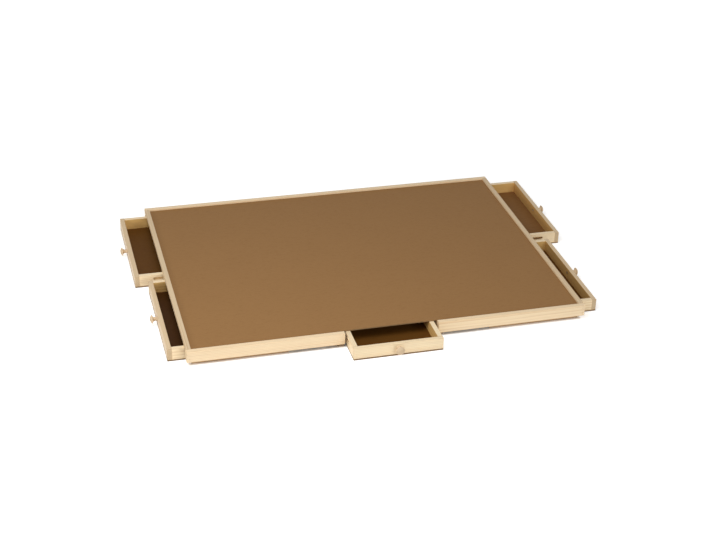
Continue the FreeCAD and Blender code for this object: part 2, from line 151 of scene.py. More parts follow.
class WoodSettings(bpy.types.PropertyGroup):
    """Colours and grain of the pine boards and the knobs"""

    rail_early: colour("Rail early wood", "Pale wood between the growth rings of the rim", (248, 224, 186))
    rail_late: colour("Rail late wood", "Darker line of each growth ring of the rim", (220, 178, 125))
    board_early: colour("Drawer early wood", "Pale wood of the drawer boards", (249, 228, 190))
    board_late: colour("Drawer late wood", "Ring lines of the drawer boards", (222, 183, 132))
    # The battens and runners get a darker pine than the rim. This is painted shade, so that the strip seen
    # under the rim reads dark.
    batten_shaded_early: colour("Batten early wood", "Pale wood of the battens and runners", (188, 154, 116))
    batten_shaded_late: colour("Batten late wood", "Ring lines of the battens and runners", (158, 122, 84))
    knob_early: colour("Knob early wood", "Pale wood of the turned knobs", (230, 204, 168))
    knob_late: colour("Knob late wood", "Ring lines of the turned knobs", (200, 163, 122))
    # The side rails and the fronts of the side drawers get a darker, warmer copy of the same pine. This is
    # painted shade for boards whose outer faces look to the sides, and the tint covers their tops too.
    side_shaded_early: colour("Side early wood", "Pale wood of the warmer boards at the two sides", (222, 197, 159))
    side_shaded_late: colour("Side late wood", "Ring lines of the warmer boards at the two sides", (197, 156, 107))
    # The tint on the drawer boards' inner faces is painted shade for the inside of the drawers, on the same
    # wood as outside.
    inner_shade_tint: colour("Bare face", "Tint of the unvarnished inner faces of the drawers", (233, 208, 157))
    # The cut faces, such as a groove, are tinted darker as painted shade in the groove. The left back
    # drawer's tint is nearly white, a lit copy, so its grooves keep almost none of that shade.
    cut_shade_tint: colour("Cut face", "Tint of the faces cut into a board, such as its groove", (190, 164, 130))
    pale_cut_shade_tint: colour("Pale cut face", "Tint of the left back drawer's cut faces", (255, 250, 240))
    ring_spacing: length("Ring spacing", "Width of one growth ring", 0.0026)
    wear_reach: length("Rubbed edge", "How far from an edge the wood is rubbed smooth", 0.0012)


class PanelSettings(bpy.types.PropertyGroup):
    """Colours of the brown fibreboard"""

    top_colour: colour("Work surface", "Brown of the work surface", (155, 116, 73))
    top_fleck: colour("Work surface fleck", "Darker fibres in the work surface", (142, 104, 65))
    # The drawer bottoms are the same hardboard as the work surface. Their darker browns are painted shade
    # for the inside of the drawers, deepest in the left front drawer and least in the right back drawer.
    shaded_bottom_colour: colour("Drawer bottom", "Brown of the drawer bottoms", (103, 67, 26))
    shaded_bottom_fleck: colour("Drawer bottom fleck", "Darker fibres in the drawer bottoms", (89, 55, 21))
    deep_shade_bottom: colour("Dark drawer bottom", "Brown of the left front drawer's bottom", (72, 43, 16))
    deep_shade_bottom_fleck: colour("Dark drawer bottom fleck", "Darker fibres in the dark bottom", (60, 35, 12))
    light_shade_bottom: colour("Pale drawer bottom", "Brown of the right back drawer's bottom", (134, 95, 54))
    light_shade_bottom_fleck: colour("Pale drawer bottom fleck", "Darker fibres in the pale bottom", (118, 81, 45))
    edge_colour: colour("Sawn edge", "Paler fibres of the sawn edges", (150, 124, 92))
    fleck_size: length("Fleck size", "Size of a fibre fleck", 0.0016)


class FastenerSettings(bpy.types.PropertyGroup):
    """Colour of the steel and sizes of the brads, pins and screws"""

    steel_colour: colour("Steel", "Colour of the plated steel", (200, 198, 192))
    brad_head: length("Brad head radius", "Radius of a brad head in the drawer corners", 0.0009)
    brad_length: length("Brad length", "Length of a brad in the drawer corners", 0.016)
    pin_head: length("Pin head radius", "Radius of a pin head under a drawer bottom", 0.0011)
    pin_length: length("Pin length", "Length of a pin under a drawer bottom", 0.012)
    pin_spacing: length("Pin spacing", "Greatest distance between two pins", 0.06)
    recess_width: length(
        "Cross recess", "Width across the recess in a screw head", SCREW_SIZES["Recess Width"]
    )
    thread_pitch: length(
        "Thread pitch", "Distance between two turns of the screw thread", SCREW_SIZES["Pitch"]
    )


class StageSettings(bpy.types.PropertyGroup):
    """Floor, light and camera"""

    floor_colour: colour("Floor", "Pale floor under the board", (250, 250, 250))
    floor_glow: FloatProperty(
        name="Floor glow", description="Light that the floor adds for the camera", min=0, max=1, default=0.52
    )
    ambient: FloatProperty(
        name="Ambient", description="Strength of the even light from all around", min=0, max=2, default=0.32
    )
    high_power: lamp_power("High lamp", "above the left end", 11)
    high_place: position("High lamp place", "Place of the lamp above the left end", (-0.55, -0.65, 1.3))
    high_size: lamp_size("High lamp", "above the left end", (0.9, 0.9))
    left_power: lamp_power("Left lamp", "low on the left", 15)
    left_place: position("Left lamp place", "Place of the lamp low on the left", (-2.5, -0.7, 0.8))
    left_size: lamp_size("Left lamp", "low on the left", (1.2, 0.5))
    front_power: lamp_power("Front lamp", "in front on the right", 18.5)
    front_place: position("Front lamp place", "Place of the lamp in front on the right", (0.9, -2.6, 0.9))
    front_size: lamp_size("Front lamp", "in front on the right", (1.2, 0.5))
    camera_place: position("Camera place", "Place of the camera", (-0.75825, -2.80932, 1.60908))
    camera_turn: angle("Camera turn", "Turn of the view to the left", -0.268015)
    camera_dip: angle("Camera dip", "Downward tilt of the view", 0.506637)
    camera_roll: angle("Camera roll", "Roll about the line of sight", 0.024841)
    camera_lens: FloatProperty(
        name="Lens", description="Focal length on a 36 mm sensor", min=1, default=72.508
    )


SETTINGS = {
    "puzzle_wood": WoodSettings,
    "puzzle_panel": PanelSettings,
    "puzzle_fasteners": FastenerSettings,
    "puzzle_stage": StageSettings,
}


# ------------------------------------------------------------- node helpers


def feed(tree, socket, given):
    """Link the socket to the one given, or set it to the number or colour given."""
    if isinstance(given, bpy.types.NodeSocket):
        tree.links.new(given, socket)
    else:
        socket.default_value = given


def add_node(tree, kind, inputs=None, **settings):
    """A new node; each input is a number, a colour or the socket that feeds it."""
    node = tree.nodes.new(kind)
    for name, setting in settings.items():
        setattr(node, name, setting)
    for name, given in (inputs or {}).items():
        feed(tree, node.inputs[name], given)
    return node


def maths(tree, operation, *inputs, clamp=False):
    node = add_node(tree, "ShaderNodeMath", dict(enumerate(inputs)), operation=operation, use_clamp=clamp)
    return node.outputs[0]


def times(tree, first, second):
    return maths(tree, "MULTIPLY", first, second)


def scaled(tree, value, gain, base, clamp=False):
    """The value times the gain, added to the base."""
    return maths(tree, "MULTIPLY_ADD", value, gain, base, clamp=clamp)


def vector_maths(tree, operation, *inputs):
    node = add_node(tree, "ShaderNodeVectorMath", dict(enumerate(inputs)), operation=operation)
    return node.outputs["Value" if operation in ("DOT_PRODUCT", "LENGTH") else "Vector"]


def mix_colours(tree, factor, first, second, blend="MIX"):
    node = add_node(tree, "ShaderNodeMix", data_type="RGBA", blend_type=blend)
    for index, given in ((MIX_FACTOR, factor), (MIX_FIRST, first), (MIX_SECOND, second)):
        feed(tree, node.inputs[index], given)
    return node.outputs[MIX_RESULT]


def along_grain(tree, place, along, across):
    """The place, scaled by one factor along the grain and by another across it."""
    return vector_maths(tree, "MULTIPLY", place, (along, across, across))


def noise(tree, vector, scale=1.0, detail=2.0, roughness=0.5):
    sockets = {"Vector": vector, "Scale": scale, "Detail": detail, "Roughness": roughness}
    return add_node(tree, "ShaderNodeTexNoise", sockets).outputs["Fac"]


def spread(tree, value, low, high, new_low=0.0, new_high=1.0):
    """Stretch a span of values onto another, smoothly, held at its ends."""
    sockets = {
        "Value": value, "From Min": low, "From Max": high, "To Min": new_low, "To Max": new_high,
    }
    return add_node(tree, "ShaderNodeMapRange", sockets, interpolation_type="SMOOTHSTEP").outputs[0]


def new_group(name, inputs, outputs):
    """An empty shader group with named sockets; returns the tree, its inputs and its output node."""
    tree = bpy.data.node_groups.new(name, "ShaderNodeTree")
    for label, kind, given in inputs:
        socket = tree.interface.new_socket(label, in_out="INPUT", socket_type=kind)
        if given is not None:
            socket.default_value = given
    for label, kind in outputs:
        tree.interface.new_socket(label, in_out="OUTPUT", socket_type=kind)
    entry = tree.nodes.new("NodeGroupInput")
    leave = tree.nodes.new("NodeGroupOutput")
    return tree, entry.outputs, leave.inputs


def give_out(tree, out, colour, roughness, height):
    """Feed the colour, roughness and height that a material's group gives; returns the tree."""
    for name, socket in (("Color", colour), ("Roughness", roughness), ("Height", height)):
        tree.links.new(socket, out[name])
    return tree


# ------------------------------------------------------------ shared effects


def make_grain_group():
    """Growth rings about the X axis of the given vector, with fibres and slow changes of tone."""
    tree, given, out = new_group(
        "pine_grain",
        [
            ("Vector", VECTOR, None),
            ("End Face", FLOAT, 0.0),
            ("Ring Spacing", FLOAT, 0.0026),
            ("Early", COLOUR, (0.9, 0.75, 0.5, 1)),
            ("Late", COLOUR, (0.7, 0.5, 0.3, 1)),
        ],
        [("Color", COLOUR), ("Roughness", FLOAT), ("Height", FLOAT)],
    )
    place = given["Vector"]
    rings = add_node(
        tree,
        "ShaderNodeTexWave",
        {
            "Vector": along_grain(tree, place, 0.055, 1),
            "Scale": maths(tree, "DIVIDE", WAVE_RING, given["Ring Spacing"]),
            "Distortion": 3.2,
            "Detail": 2.0,
            "Detail Scale": 0.45,
        },
        wave_type="RINGS",
        rings_direction="X",
        wave_profile="SAW",
    ).outputs["Fac"]
    late = maths(tree, "POWER", rings, 2.2)
    # bands a few rings wide in which the late wood is strong or faint
    bands = spread(tree, noise(tree, along_grain(tree, place, 2.2, 62)), low=0.3, high=0.72)
    late = times(tree, late, scaled(tree, bands, gain=0.62, base=0.2))
    fibres = noise(tree, along_grain(tree, place, 14, 820), detail=3.0, roughness=0.62)
    tone = noise(tree, along_grain(tree, place, 1.6, 17), detail=3.0)
    wood = mix_colours(tree, late, given["Early"], given["Late"])
    shade = scaled(tree, spread(tree, fibres, low=0.28, high=0.72), gain=0.07, base=0.94)
    shade = times(tree, shade, scaled(tree, tone, gain=0.16, base=0.915))
    shade = times(tree, shade, scaled(tree, given["End Face"], gain=-0.14, base=1.0))
    grey = add_node(tree, "ShaderNodeCombineColor", {0: shade, 1: shade, 2: shade}).outputs[0]
    wood = mix_colours(tree, 1.0, wood, grey, "MULTIPLY")
    rough = scaled(tree, fibres, gain=0.16, base=0.40)
    rough = scaled(tree, given["End Face"], gain=0.14, base=rough)
    height = scaled(tree, late, gain=0.5, base=times(tree, fibres, 0.5))
    return give_out(tree, out, wood, rough, height)


def make_edge_group():
    """A mask of 1 along the edges of the box from Low to High, broken up by a little noise."""
    tree, given, out = new_group(
        "rubbed_edges",
        [
            ("Vector", VECTOR, None),
            ("Low", VECTOR, (0, 0, 0)),
            ("High", VECTOR, (1, 1, 1)),
            ("Reach", FLOAT, 0.001),
        ],
        [("Mask", FLOAT)],
    )
    from_low = vector_maths(tree, "SUBTRACT", given["Vector"], given["Low"])
    from_high = vector_maths(tree, "SUBTRACT", given["High"], given["Vector"])
    nearest = vector_maths(tree, "MINIMUM", from_low, from_high)
    x, y, z = add_node(tree, "ShaderNodeSeparateXYZ", {0: nearest}).outputs
    # the middle one of the three distances is the distance to the nearest edge
    lesser, greater = maths(tree, "MINIMUM", x, y), maths(tree, "MAXIMUM", x, y)
    middle = maths(tree, "MAXIMUM", lesser, maths(tree, "MINIMUM", greater, z))
    patches = noise(tree, given["Vector"], scale=70.0, detail=3.0)
    reach = times(tree, given["Reach"], scaled(tree, patches, gain=2.4, base=0.1))
    mask = maths(tree, "SUBTRACT", 1.0, maths(tree, "DIVIDE", middle, reach), clamp=True)
    tree.links.new(mask, out["Mask"])
    return tree


def make_fibre_group():
    """Pressed fibres: flecks of two sizes over a soft cloudiness."""
    tree, given, out = new_group(
        "pressed_fibres",
        [
            ("Vector", VECTOR, None),
            ("Fleck Size", FLOAT, 0.0016),
            ("Ground", COLOUR, (0.4, 0.25, 0.1, 1)),
            ("Fleck", COLOUR, (0.3, 0.18, 0.07, 1)),
        ],
        [("Color", COLOUR), ("Roughness", FLOAT), ("Height", FLOAT)],
    )
    place = given["Vector"]
    scale = maths(tree, "DIVIDE", 1.0, given["Fleck Size"])
    fine = noise(tree, place, scale, detail=3.0, roughness=0.6)
    crossed = along_grain(tree, place, 0.35, 1.0)
    threads = noise(tree, crossed, times(tree, scale, 0.45), detail=4.0, roughness=0.65)
    clouds = noise(tree, place, scale=9.0)
    flecks = times(tree, spread(tree, threads, low=0.46, high=0.74), 0.5)
    flecks = scaled(tree, spread(tree, fine, low=0.45, high=0.75), gain=0.35, base=flecks)
    flecks = scaled(tree, maths(tree, "SUBTRACT", clouds, 0.5), gain=0.30, base=flecks, clamp=True)
    board = mix_colours(tree, flecks, given["Ground"], given["Fleck"])
    return give_out(tree, out, board, scaled(tree, fine, gain=0.2, base=0.42), threads)


def make_plate_group():
    """Plated steel: fine draw marks and dulled patches."""
    tree, given, out = new_group(
        "plated_steel",
        [("Vector", VECTOR, None), ("Steel", COLOUR, (0.6, 0.6, 0.6, 1))],
        [("Color", COLOUR), ("Roughness", FLOAT), ("Height", FLOAT)],
    )
    drawn = vector_maths(tree, "MULTIPLY", given["Vector"], (1, 1, 5))
    marks = noise(tree, drawn, scale=2600.0, detail=3.0, roughness=0.6)
    dull = spread(tree, noise(tree, given["Vector"], scale=420.0, detail=3.0), low=0.42, high=0.68)
    plate = mix_colours(tree, dull, given["Steel"], DULL_STEEL)
    rough = scaled(tree, dull, gain=0.22, base=scaled(tree, marks, gain=0.14, base=0.22))
    return give_out(tree, out, plate, rough, marks)


GROUPS = {
    "pine_grain": make_grain_group,
    "rubbed_edges": make_edge_group,
    "pressed_fibres": make_fibre_group,
    "plated_steel": make_plate_group,
}


def group(tree, name, inputs):
    shared = bpy.data.node_groups.get(name) or GROUPS[name]()
    node = tree.nodes.new("ShaderNodeGroup")
    node.node_tree = shared
    for label, given in inputs.items():
        feed(tree, node.inputs[label], given)
    return node.outputs


# ----------------------------------------------------------------- materials


def opaque(rgb):
    return (*rgb, 1.0)


def new_material(name):
    """A material with nodes; returns it, its tree, its shader and its object coordinates."""
    material = bpy.data.materials.new(name)
    material.use_nodes = True
    tree = material.node_tree
    shader = tree.nodes["Principled BSDF"]
    coordinates = tree.nodes.new("ShaderNodeTexCoord")
    return material, tree, shader, coordinates


def bump(tree, shader, height, depth):
    node = add_node(tree, "ShaderNodeBump", {"Height": height, "Distance": depth, "Strength": 1.0})
    tree.links.new(node.outputs["Normal"], shader.inputs["Normal"])


def pine(name, low, high, along, early, late, wear=True, heart_reach=BOARD_HEART, shaded_inward=None, cut_shade_tint=None):
    """Pine with its grain along one axis; the growth rings lie differently in each board.

    heart_reach is the span of distances from the board's middle to the heart of its tree. The direction
    given after it points to the board's inner faces, which get a darker, warmer tint: painted shade for the
    inside of a drawer. None leaves all faces alike. The cut tint darkens the faces cut below the board's
    skin, which is painted shade in its groove.
    """
    wood = bpy.context.scene.puzzle_wood
    material, tree, shader, coordinates = new_material(name)
    dice = random.Random(name)
    parts = add_node(tree, "ShaderNodeSeparateXYZ", {0: coordinates.outputs["Object"]}).outputs
    order = [along] + [axis for axis in range(3) if axis != along]
    turned = add_node(tree, "ShaderNodeCombineXYZ", {i: parts[a] for i, a in enumerate(order)})
    middle = (low + high) / 2
    near, far = heart_reach
    heart = (
        dice.uniform(*GRAIN_SHIFT),
        dice.choice((-1, 1)) * dice.uniform(near, far) - middle[order[1]],
        -dice.uniform(near, far) - middle[order[2]],
    )
    grain_place = vector_maths(tree, "ADD", turned.outputs[0], heart)
    grain_axis = [1.0 if axis == along else 0.0 for axis in range(3)]
    facing = vector_maths(tree, "DOT_PRODUCT", coordinates.outputs["Normal"], grain_axis)
    end_face = spread(tree, maths(tree, "ABSOLUTE", facing), low=0.55, high=0.85)
    grain = group(
        tree,
        "pine_grain",
        {
            "Vector": grain_place,
            "End Face": end_face,
            "Ring Spacing": wood.ring_spacing * dice.uniform(*RING_CHANGE),
            "Early": opaque(early),
            "Late": opaque(late),
        },
    )
    base, rough = grain["Color"], grain["Roughness"]
    if wear:
        edges = group(
            tree,
            "rubbed_edges",
            {
                "Vector": coordinates.outputs["Object"],
                "Low": low,
                "High": high,
                "Reach": wood.wear_reach,
            },
        )["Mask"]
        base = mix_colours(tree, times(tree, edges, 0.35), base, opaque(late))
        rough = scaled(tree, edges, gain=-0.1, base=rough)
    # painted shade: the faces cut below the board's skin, such as its groove, are darkened
    if cut_shade_tint:
        low_depth = vector_maths(tree, "SUBTRACT", coordinates.outputs["Object"], low)
        high_depth = vector_maths(tree, "SUBTRACT", high, coordinates.outputs["Object"])
        depth = vector_maths(tree, "MINIMUM", low_depth, high_depth)
        x, y, z = add_node(tree, "ShaderNodeSeparateXYZ", {0: depth}).outputs
        least = maths(tree, "MINIMUM", maths(tree, "MINIMUM", x, y), z)
        cut = spread(tree, least, CUT_BEGINS, CUT_FULL)
        base = mix_colours(tree, cut, base, opaque(cut_shade_tint), "MULTIPLY")
        rough = scaled(tree, cut, gain=0.15, base=rough)
    # painted shade: the inner faces of a drawer board get the darker, warmer tint
    if shaded_inward:
        turned_in = vector_maths(tree, "DOT_PRODUCT", coordinates.outputs["Normal"], shaded_inward)
        inside = spread(tree, turned_in, low=0.5, high=0.8)
        base = mix_colours(tree, inside, base, opaque(wood.inner_shade_tint), "MULTIPLY")
        rough = scaled(tree, inside, gain=0.12, base=rough)
    tree.links.new(base, shader.inputs["Base Color"])
    tree.links.new(rough, shader.inputs["Roughness"])
    shader.inputs["Specular IOR Level"].default_value = 0.35
    shader.inputs["Coat Weight"].default_value = 0.12
    shader.inputs["Coat Roughness"].default_value = 0.38
    bump(tree, shader, grain["Height"], PINE_RELIEF)
    return material


def fibreboard(name, low, high, ground, fleck):
    """Smooth-faced hardboard with paler, rougher sawn edges."""
    panel = bpy.context.scene.puzzle_panel
    material, tree, shader, coordinates = new_material(name)
    place = vector_maths(tree, "ADD", coordinates.outputs["Object"], -(low + high) / 2)
    board = group(
        tree,
        "pressed_fibres",
        {"Vector": place, "Fleck Size": panel.fleck_size, "Ground": opaque(ground), "Fleck": opaque(fleck)},
    )
    level = vector_maths(tree, "DOT_PRODUCT", coordinates.outputs["Normal"], (0, 0, 1))
    sawn = maths(tree, "SUBTRACT", 1.0, maths(tree, "ABSOLUTE", level), clamp=True)
    base = mix_colours(tree, times(tree, sawn, 0.7), board["Color"], opaque(panel.edge_colour))
    rough = scaled(tree, sawn, gain=0.25, base=board["Roughness"])
    tree.links.new(base, shader.inputs["Base Color"])
    tree.links.new(rough, shader.inputs["Roughness"])
    shader.inputs["Specular IOR Level"].default_value = 0.05
    bump(tree, shader, board["Height"], FIBREBOARD_RELIEF)
    return material


def steel():
    """One plated steel for every fastener."""
    found = bpy.data.materials.get("plated_steel")
    if found:
        return found
    material, tree, shader, coordinates = new_material("plated_steel")
    colours = bpy.context.scene.puzzle_fasteners
    plate = group(
        tree,
        "plated_steel",
        {"Vector": coordinates.outputs["Object"], "Steel": opaque(colours.steel_colour)},
    )
    shader.inputs["Metallic"].default_value = 1.0
    tree.links.new(plate["Color"], shader.inputs["Base Color"])
    tree.links.new(plate["Roughness"], shader.inputs["Roughness"])
    bump(tree, shader, plate["Height"], STEEL_RELIEF)
    return material


def dress(node, material):
    """Put a material on a fixed part of the frame."""
    piece = frame["nodes"][node]
    if not piece.material_slots:
        raise RuntimeError(f"{node} has no material slot")
    for place in piece.material_slots:
        place.material = material


def box_of(node):
    low, high = (Vector(corner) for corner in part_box(node))
    return low, high


def dress_boards(nodes, early, late, inward=None):
    """Pine on each board, with the grain along its longest side; inward gives the direction of its inner
    faces, which get painted shade.
    """
    if not nodes:
        raise RuntimeError("no boards of this kind are in the frame")
    wood = bpy.context.scene.puzzle_wood
    for node in nodes:
        low, high = box_of(node)
        sides = high - low
        along = max(range(3), key=lambda axis: sides[axis])
        shaded_inward = inward(node) if inward else None
        # painted shade in the grooves, nearly none on the left back drawer's boards
        cut_shade_tint = wood.pale_cut_shade_tint if node.startswith("left_back") else wood.cut_shade_tint
        dress(node, pine(f"pine_{node}", low, high, along, early, late, shaded_inward=shaded_inward, cut_shade_tint=cut_shade_tint))


def towards_inside(node):
    """The level direction in which a drawer board looks to the middle of its drawer."""
    drawer = next(name for name in SLIDES if node.startswith(name))
    board_low, board_high = box_of(node)
    floor_low, floor_high = box_of(f"{drawer}_bottom")
    across = min((0, 1), key=lambda axis: (board_high - board_low)[axis])
    gap = (floor_low + floor_high)[across] - (board_low + board_high)[across]
    return [math.copysign(1.0, gap) if axis == across else 0.0 for axis in range(3)]


# ------------------------------------------------------------ geometry nodes


def new_shape_tree(name, sizes):
    """An empty geometry tree with named number inputs; returns it, its inputs and its output node."""
    tree = bpy.data.node_groups.new(name, "GeometryNodeTree")
    tree.interface.new_socket("Places", in_out="INPUT", socket_type=GEOMETRY)
    for label, metres in sizes.items():
        socket = tree.interface.new_socket(label, in_out="INPUT", socket_type=FLOAT)
        socket.default_value = metres
    tree.interface.new_socket("Shape", in_out="OUTPUT", socket_type=GEOMETRY)
    return tree, tree.nodes.new("NodeGroupInput").outputs, tree.nodes.new("NodeGroupOutput").inputs


def moved(tree, shape, height):
    """The shape, lifted by a height, which is a number or a socket."""
    lift = add_node(tree, "ShaderNodeCombineXYZ", {2: height}).outputs[0]
    return add_node(tree, "GeometryNodeTransform", {"Geometry": shape, "Translation": lift}).outputs[0]


def joined(tree, *shapes):
    node = tree.nodes.new("GeometryNodeJoinGeometry")
    for shape in shapes:
        tree.links.new(shape, node.inputs[0])
    return node.outputs[0]


def cylinder(tree, sides, radius, depth):
    sockets = {"Vertices": sides, "Radius": radius, "Depth": depth}
    return add_node(tree, "GeometryNodeMeshCylinder", sockets).outputs["Mesh"]


def cone(tree, sides, top, bottom, depth):
    sockets = {"Vertices": sides, "Radius Top": top, "Radius Bottom": bottom, "Depth": depth}
    return add_node(tree, "GeometryNodeMeshCone", sockets).outputs["Mesh"]


def set_at_places(tree, given, out, shape, material):
    """Set one shape at each point, turned to its aim, as one plain mesh."""
    aim = add_node(tree, "GeometryNodeInputNamedAttribute", {"Name": "aim"}, data_type="FLOAT_VECTOR")
    turn = add_node(tree, "FunctionNodeAlignRotationToVector", {"Vector": aim.outputs[0]}, axis="Z")
    spots = add_node(
        tree,
        "GeometryNodeInstanceOnPoints",
        {"Points": given["Places"], "Instance": shape, "Rotation": turn.outputs[0]},
    )
    real = add_node(tree, "GeometryNodeRealizeInstances", {"Geometry": spots.outputs[0]})
    finished = add_node(tree, "GeometryNodeSetMaterial", {"Geometry": real.outputs[0], "Material": material})
    tree.links.new(finished.outputs[0], out["Shape"])


def nail_tree():
    """A nail with a chamfered head and a pointed shank, hanging below each place."""
    found = bpy.data.node_groups.get("nail")
    if found:
        return found
    tree, given, out = new_shape_tree("nail", NAIL_SIZES)
    head, height = given["Head Radius"], given["Head Height"]
    # the upper four tenths of the head are its chamfer
    crown = cone(tree, HEAD_SIDES, times(tree, head, 0.72), head, times(tree, height, 0.4))
    crown = moved(tree, crown, times(tree, height, -0.4))
    plate = cylinder(tree, HEAD_SIDES, head, times(tree, height, 0.6))
    plate = moved(tree, plate, times(tree, height, -0.7))
    radius, whole = given["Shank Radius"], given["Length"]
    point = times(tree, radius, 3.0)
    straight = maths(tree, "SUBTRACT", whole, point)
    shank = moved(tree, cylinder(tree, SHANK_SIDES, radius, straight), times(tree, straight, -0.5))
    tip = moved(tree, cone(tree, SHANK_SIDES, radius, 0.0, point), times(tree, whole, -1.0))
    set_at_places(tree, given, out, joined(tree, crown, plate, shank, tip), steel())
    return tree


def putty():
    """Wood filler: two parts of the rim's early wood and one of its late wood, with its grain."""
    wood = bpy.context.scene.puzzle_wood
    low, high = box_of("frame_nails")
    filler = tuple((2 * a + b) / 3 for a, b in zip(wood.rail_early, wood.rail_late))
    return pine("putty", low, high, 0, filler, wood.rail_late, wear=False)


def plug_tree():
    """A thin chamfered disc of filler, its outer face at each place."""
    tree, given, out = new_shape_tree("filler_plug", PLUG_SIZES)
    radius, thickness = given["Radius"], given["Thickness"]
    disc = cone(tree, PLUG_SIDES, times(tree, radius, 0.94), radius, thickness)
    disc = moved(tree, disc, times(tree, thickness, -1.0))
    set_at_places(tree, given, out, disc, putty())
    return tree


def screw_tree():
    """A countersunk wood screw with a cross recess and a thread, hanging below each place."""
    found = bpy.data.node_groups.get("cross_screw")
    if found:
        return found
    tree, given, out = new_shape_tree("cross_screw", SCREW_SIZES)
    depth, radius, whole = given["Head Depth"], given["Shank Radius"], given["Length"]
    core = times(tree, radius, 0.78)
    head = cone(tree, SCREW_HEAD_SIDES, given["Head Radius"], core, depth)
    head = moved(tree, head, times(tree, depth, -1.0))
    slots = []
    for turn in (0.0, math.pi / 2):
        width = given["Recess Width"]
        size = add_node(tree, "ShaderNodeCombineXYZ", {0: width, 1: times(tree, width, 0.26), 2: depth})
        slot = add_node(tree, "GeometryNodeMeshCube", {"Size": size.outputs[0]}).outputs["Mesh"]
        slot = add_node(tree, "GeometryNodeTransform", {"Geometry": slot, "Rotation": (0, 0, turn)})
        slots.append(slot.outputs[0])
    cut = add_node(tree, "GeometryNodeMeshBoolean", {"Mesh 1": head}, operation="DIFFERENCE")
    for slot in slots:
        tree.links.new(slot, cut.inputs["Mesh 2"])
    point = times(tree, radius, 2.0)
    straight = maths(tree, "SUBTRACT", maths(tree, "SUBTRACT", whole, depth), point)
    middle = maths(tree, "SUBTRACT", times(tree, straight, -0.5), depth)
    shank = moved(tree, cylinder(tree, SCREW_SIDES, core, straight), middle)
    end = times(tree, whole, -1.0)
    tip = moved(tree, cone(tree, SCREW_SIDES, core, 0.0, point), end)
    turns = maths(tree, "DIVIDE", straight, given["Pitch"])
    helix = add_node(
        tree,
        "GeometryNodeCurveSpiral",
        {
            "Resolution": THREAD_STEPS, "Rotations": turns, "Start Radius": core, "End Radius": core,
            "Height": straight,
        },
    ).outputs[0]
    ridge = add_node(
        tree,
        "GeometryNodeCurvePrimitiveCircle",
        {"Resolution": THREAD_SIDES, "Radius": times(tree, core, 0.28)},
    ).outputs[0]
    thread = add_node(
        tree, "GeometryNodeCurveToMesh", {"Curve": helix, "Profile Curve": ridge, "Fill Caps": True}
    ).outputs[0]
    thread = moved(tree, thread, maths(tree, "ADD", end, point))
    set_at_places(tree, given, out, joined(tree, cut.outputs[0], shank, tip, thread), steel())
    return tree


def grow(name, tree, places, sizes):
    """Run a geometry tree over places, each a point and its aim, and keep the plain mesh."""
    if not places:
        raise RuntimeError(f"{name} has no places")
    guide = bpy.data.meshes.new(name)
    guide.from_pydata([tuple(point) for point, _ in places], [], [])
    aims = guide.attributes.new("aim", "FLOAT_VECTOR", "POINT")
    aims.data.foreach_set("vector", [value for _, aim in places for value in aim])
    piece = bpy.data.objects.new(name, guide)
    bpy.context.scene.collection.objects.link(piece)
    growth = piece.modifiers.new("growth", "NODES")
    growth.node_group = tree
    for socket in tree.interface.items_tree:
        if socket.in_out == "INPUT" and socket.name in sizes:
            growth[socket.identifier] = sizes[socket.name]
    evaluated = piece.evaluated_get(bpy.context.evaluated_depsgraph_get())
    mesh = bpy.data.meshes.new_from_object(evaluated)
    piece.modifiers.remove(growth)
    piece.data = mesh
    if len(mesh.polygons) == 0:
        raise RuntimeError(f"{name} came out empty")
    return piece


# ----------------------------------------------------------------- operators


class DressWorkSurface(bpy.types.Operator):
    """Give the work surface its brown fibreboard"""

    bl_idname = "puzzle_table.work_surface"
    bl_label = "Work surface"

    def execute(self, context):
        panel = context.scene.puzzle_panel
        low, high = box_of("work_surface")
        dress("work_surface", fibreboard("fibreboard_top", low, high, panel.top_colour, panel.top_fleck))
        return {"FINISHED"}


class DressRails(bpy.types.Operator):
    """Give the rim its pale pine"""

    bl_idname = "puzzle_table.rails"
    bl_label = "Rim rails"

    def execute(self, context):
        wood = context.scene.puzzle_wood
        sides = ["left_rail", "right_rail"]
        long_rails = [node for node in NODES if "rail" in node and node not in sides]
        dress_boards(long_rails, wood.rail_early, wood.rail_late)
        # painted shade: the side rails take the darker copy of the pine
        dress_boards(sides, wood.side_shaded_early, wood.side_shaded_late)
        return {"FINISHED"}


class DressBattens(bpy.types.Operator):
    """Give the battens and the runner strips under the surface a darker pine, painted shade for the strip
    seen under the rim
    """

    bl_idname = "puzzle_table.battens"
    bl_label = "Battens and runners"

    def execute(self, context):
        wood = context.scene.puzzle_wood
        battens = [node for node in NODES if "batten" in node or "runners" in node]
        # painted shade: the darker pine stands in for the shade under the rim
        dress_boards(battens, wood.batten_shaded_early, wood.batten_shaded_late)
        return {"FINISHED"}


class DressDrawerBoards(bpy.types.Operator):
    """Give the fronts, sides and backs of the drawers their pine"""

    bl_idname = "puzzle_table.drawer_boards"
    bl_label = "Drawer boards"

    def execute(self, context):
        wood = context.scene.puzzle_wood
        fronts = [f"{drawer}_front" for drawer in SLIDES if drawer.startswith(("left", "right"))]
        boards = [node for node in NODES if node.endswith(("drawer_front", "_side", "drawer_back"))]
        plain = [node for node in boards if node not in fronts]
        dress_boards(plain, wood.board_early, wood.board_late, towards_inside)
        # painted shade: the fronts of the side drawers take the darker copy of the pine
        dress_boards(fronts, wood.side_shaded_early, wood.side_shaded_late, towards_inside)
        return {"FINISHED"}


